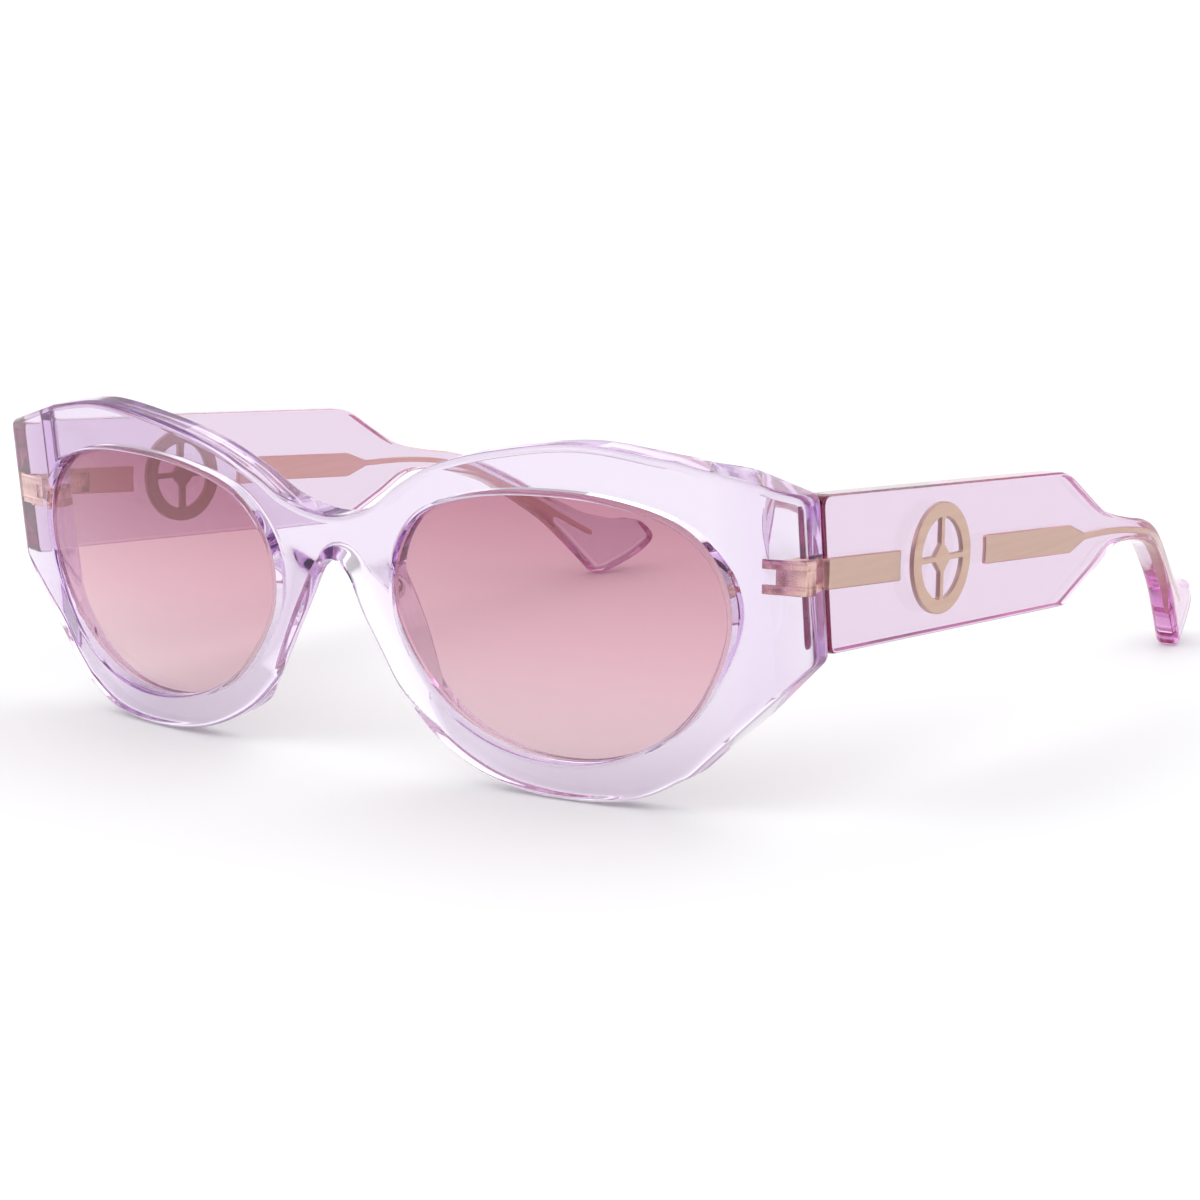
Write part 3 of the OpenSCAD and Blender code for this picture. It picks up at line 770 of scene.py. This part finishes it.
def noise(nodes, links, scale, detail, stretch=(1, 1, 1)):
    """Noise over the object's own coordinates, stretched along an axis."""
    where = nodes.new("ShaderNodeTexCoord")
    mapping = nodes.new("ShaderNodeMapping")
    mapping.inputs["Scale"].default_value = stretch
    tex = nodes.new("ShaderNodeTexNoise")
    tex.inputs["Scale"].default_value = scale
    tex.inputs["Detail"].default_value = detail
    links.new(where.outputs["Object"], mapping.inputs["Vector"])
    links.new(mapping.outputs["Vector"], tex.inputs["Vector"])
    return tex


def spread(nodes, links, source, low, high):
    """source's 0.3 to 0.7 brought to low to high."""
    span = nodes.new("ShaderNodeMapRange")
    span.inputs["From Min"].default_value = 0.3
    span.inputs["From Max"].default_value = 0.7
    span.inputs["To Min"].default_value = low
    span.inputs["To Max"].default_value = high
    links.new(source, span.inputs["Value"])
    return span.outputs["Result"]


def bump(nodes, links, height, strength, distance, bsdf):
    node = nodes.new("ShaderNodeBump")
    node.inputs["Strength"].default_value = strength
    node.inputs["Distance"].default_value = distance
    links.new(height, node.inputs["Height"])
    links.new(node.outputs["Normal"], bsdf.inputs["Normal"])


def acetate(name, surface, depth_colour):
    """Polished clear acetate. Its depth takes mostly green, so long paths at the edges turn magenta."""
    mat, nodes, links, bsdf, out = material(name)
    bsdf.inputs["Base Color"].default_value = surface
    bsdf.inputs["Transmission Weight"].default_value = 1
    bsdf.inputs["IOR"].default_value = 1.49
    polish = noise(nodes, links, 260, 3)
    links.new(spread(nodes, links, polish.outputs["Fac"], 0.0, 0.02), bsdf.inputs["Roughness"])
    bump(nodes, links, noise(nodes, links, 90, 2).outputs["Fac"], 0.04, 0.0004, bsdf)
    depth = nodes.new("ShaderNodeVolumeAbsorption")
    depth.inputs["Color"].default_value = depth_colour
    depth.inputs["Density"].default_value = 95
    links.new(depth.outputs["Volume"], out.inputs["Volume"])
    return mat


def lens_tint():
    """Graded lens: deep rose at the top, pale below."""
    mat, nodes, links, bsdf, _ = material("lens_tint")
    low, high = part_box("lens_left")
    where = nodes.new("ShaderNodeTexCoord")
    split = nodes.new("ShaderNodeSeparateXYZ")
    links.new(where.outputs["Object"], split.inputs["Vector"])
    height = nodes.new("ShaderNodeMapRange")
    height.inputs["From Min"].default_value = low.z
    height.inputs["From Max"].default_value = high.z
    links.new(split.outputs["Z"], height.inputs["Value"])
    ramp = nodes.new("ShaderNodeValToRGB")
    stops = ramp.color_ramp.elements
    stops[0].position, stops[0].color = 0.0, (0.82, 0.62, 0.66, 1)
    stops[1].position, stops[1].color = 1.0, (0.46, 0.185, 0.26, 1)
    middle = stops.new(0.45)
    middle.color = (0.70, 0.41, 0.475, 1)
    links.new(height.outputs["Result"], ramp.inputs["Fac"])
    links.new(ramp.outputs["Color"], bsdf.inputs["Base Color"])
    bsdf.inputs["Transmission Weight"].default_value = 1
    bsdf.inputs["IOR"].default_value = 1.5
    polish = noise(nodes, links, 300, 2)
    links.new(spread(nodes, links, polish.outputs["Fac"], 0.0, 0.012), bsdf.inputs["Roughness"])
    return mat


def rose_gold(name, brushed, shade=1.0):
    """Rose gold plate: brushed along the temple on the bars and the emblem, polished on the hinges.

    shade darkens the metal, as painted shade: it is below 1 on the emblem, which is the same brushed rose
    gold as the bars and is darkened to stand in for the darker reflections that make it look darker than the
    bars.
    """
    mat, nodes, links, bsdf, _ = material(name)
    bsdf.inputs["Metallic"].default_value = 1
    grain = noise(nodes, links, 900, 4, (1, 0.04, 1) if brushed else (1, 1, 1))
    tone = nodes.new("ShaderNodeValToRGB")
    stops = tone.color_ramp.elements
    stops[0].position, stops[0].color = 0.3, (0.84 * shade, 0.56 * shade, 0.45 * shade, 1)
    stops[1].position, stops[1].color = 0.7, (0.94 * shade, 0.67 * shade, 0.55 * shade, 1)
    links.new(grain.outputs["Fac"], tone.inputs["Fac"])
    links.new(tone.outputs["Color"], bsdf.inputs["Base Color"])
    low, high = (0.30, 0.42) if brushed else (0.20, 0.30)
    links.new(spread(nodes, links, grain.outputs["Fac"], low, high), bsdf.inputs["Roughness"])
    bump(nodes, links, grain.outputs["Fac"], 0.25 if brushed else 0.08, 0.00003, bsdf)
    return mat


def steel():
    mat, nodes, links, bsdf, _ = material("steel")
    bsdf.inputs["Metallic"].default_value = 1
    bsdf.inputs["Base Color"].default_value = (0.72, 0.69, 0.66, 1)
    grain = noise(nodes, links, 1500, 3)
    links.new(spread(nodes, links, grain.outputs["Fac"], 0.18, 0.32), bsdf.inputs["Roughness"])
    bump(nodes, links, grain.outputs["Fac"], 0.1, 0.00002, bsdf)
    return mat


def pale_floor():
    mat, nodes, links, bsdf, _ = material("floor")
    tone = nodes.new("ShaderNodeValToRGB")
    stops = tone.color_ramp.elements
    stops[0].color, stops[1].color = (0.93, 0.93, 0.935, 1), (0.95, 0.95, 0.95, 1)
    links.new(noise(nodes, links, 8, 2).outputs["Fac"], tone.inputs["Fac"])
    links.new(tone.outputs["Color"], bsdf.inputs["Base Color"])
    bsdf.inputs["Roughness"].default_value = 0.6
    bsdf.inputs["Specular IOR Level"].default_value = 0.1
    return mat


# ---------- the object ----------


def stand_in(piece, mat, body, slot, *nodes):
    piece.data.materials.clear()
    piece.data.materials.append(mat)
    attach(piece, body)
    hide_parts(*nodes)


def make_object():
    """Every visible piece, over the nodes it stands for. The temples' tint is a little pinker, and also
    darker as painted shade; the front's acetate is lighter as painted light.
    """
    # The front's acetate is lightened as painted light, against the floor shadow seen through its lower rims;
    # the temples' is darkened as painted shade, against the bright light on the blades, and is also a pinker
    # tint.
    clear = acetate("lilac_acetate_front", (0.93, 0.955, 0.95, 1), (0.74, 0.48, 0.80, 1))
    temple_tint_and_painted_shade = acetate("lilac_acetate_temple", (0.79, 0.86, 0.83, 1), (0.85, 0.25, 0.74, 1))
    tint, metal = lens_tint(), rose_gold("rose_gold_polished", False)
    brushed, screw = rose_gold("rose_gold_brushed", True), steel()
    # The emblem's metal is the bars' brushed rose gold at 0.66 of their tone: painted shade for the darker
    # reflections it shows.
    brushed_painted_shade = rose_gold("rose_gold_brushed_painted_shade", True, 0.66)
    stand_in(make_front(), clear, "front", "lilac_acetate", "front_frame", "nose_pad_left", "nose_pad_right")
    for side in SIDES:
        body = "temple_" + side
        stand_in(make_lens(side), tint, "front", "tinted_lens", "lens_" + side)
        stand_in(make_front_hinge(side), metal, "front", "rose_gold", "front_hinge_" + side)
        stand_in(make_screw(side), screw, "front", "steel", "hinge_screw_" + side)
        stand_in(make_temple(side), temple_tint_and_painted_shade, body, "lilac_acetate", "temple_" + side)
        stand_in(make_temple_leaf(side), metal, body, "rose_gold", "temple_hinge_" + side)
        stand_in(make_bar("inlaid_bar", front_bar_outline(), side), brushed, body, "rose_gold",
                 "front_bar_" + side)
        stand_in(make_bar("core_wire", core_outline(), side), brushed, body, "rose_gold", "core_" + side)
        stand_in(make_emblem(side), brushed_painted_shade, body, "rose_gold", "emblem_" + side)


# ---------- the studio ----------


def make_floor():
    bpy.ops.mesh.primitive_circle_add(vertices=96, radius=6, fill_type="NGON", location=(0, 0, -0.0001))
    floor = bpy.context.object
    floor.name = "floor"
    floor.data.materials.append(pale_floor())


def area_light(name, place, target, size, power, colour=(1, 1, 1)):
    light = bpy.data.lights.new(name, "AREA")
    light.shape, light.size, light.size_y = "RECTANGLE", *size
    light.energy, light.color = power, colour
    ob = bpy.data.objects.new(name, light)
    bpy.context.scene.collection.objects.link(ob)
    ob.location = place
    ob.rotation_euler = (Vector(target) - Vector(place)).to_track_quat("-Z", "Y").to_euler()


def make_world():
    """White all round, darker in a low band and overhead, so that edges of clear acetate show."""
    world = bpy.data.worlds.new("studio")
    bpy.context.scene.world = world
    world.use_nodes = True
    nodes, links = world.node_tree.nodes, world.node_tree.links
    where = nodes.new("ShaderNodeTexCoord")
    split = nodes.new("ShaderNodeSeparateXYZ")
    links.new(where.outputs["Generated"], split.inputs["Vector"])
    ramp = nodes.new("ShaderNodeValToRGB")
    stops = ramp.color_ramp.elements
    stops[0].position, stops[0].color = 0.0, (1, 1, 1, 1)
    stops[1].position, stops[1].color = 1.0, (0.58, 0.58, 0.60, 1)
    for place, tone in ((0.11, 1), (0.17, 0.5), (0.34, 0.5), (0.50, 1), (0.80, 1)):
        stops.new(place).color = (tone, tone, tone, 1)
    links.new(split.outputs["Z"], ramp.inputs["Fac"])
    background = nodes["Background"]
    links.new(ramp.outputs["Color"], background.inputs["Color"])
    background.inputs["Strength"].default_value = 1.3


def make_camera():
    """Three-quarter view from the wearer's left, a little above: a 90 mm lens at about half a metre.

    back points from the object towards the camera, and right along the picture's width.
    """
    data = bpy.data.cameras.new("camera")
    data.sensor_width, data.lens = 36, 89.8
    ob = bpy.data.objects.new("camera", data)
    bpy.context.scene.collection.objects.link(ob)
    back = Vector((0.6122, -0.7667, 0.1935)).normalized()
    right = Vector((0.7839, 0.6204, -0.0220))
    right = (right - back * right.dot(back)).normalized()
    up = back.cross(right)
    turn = Matrix((right, up, back)).transposed()
    ob.matrix_world = Matrix.Translation((0.28115, -0.3631, 0.1021)) @ turn.to_4x4()
    bpy.context.scene.camera = ob


make_camera()
make_object()
make_floor()
make_world()
centre = sum((Vector(b) for b in cad_bounds), Vector()) / 2
area_light("key", (-0.5, -0.9, 0.9), centre, (0.8, 0.5), 1.6, (0.92, 0.95, 1))
area_light("back", (-0.3, 0.9, 0.7), centre, (0.9, 0.4), 1.2)

# Light that reflects inside clear acetate counts as glossy, and the default limit of 4 leaves black bands.
BOUNCES = 32
bpy.context.scene.cycles.max_bounces = BOUNCES
bpy.context.scene.cycles.transmission_bounces = BOUNCES
bpy.context.scene.cycles.glossy_bounces = BOUNCES
bpy.context.scene.view_settings.view_transform = "Standard"
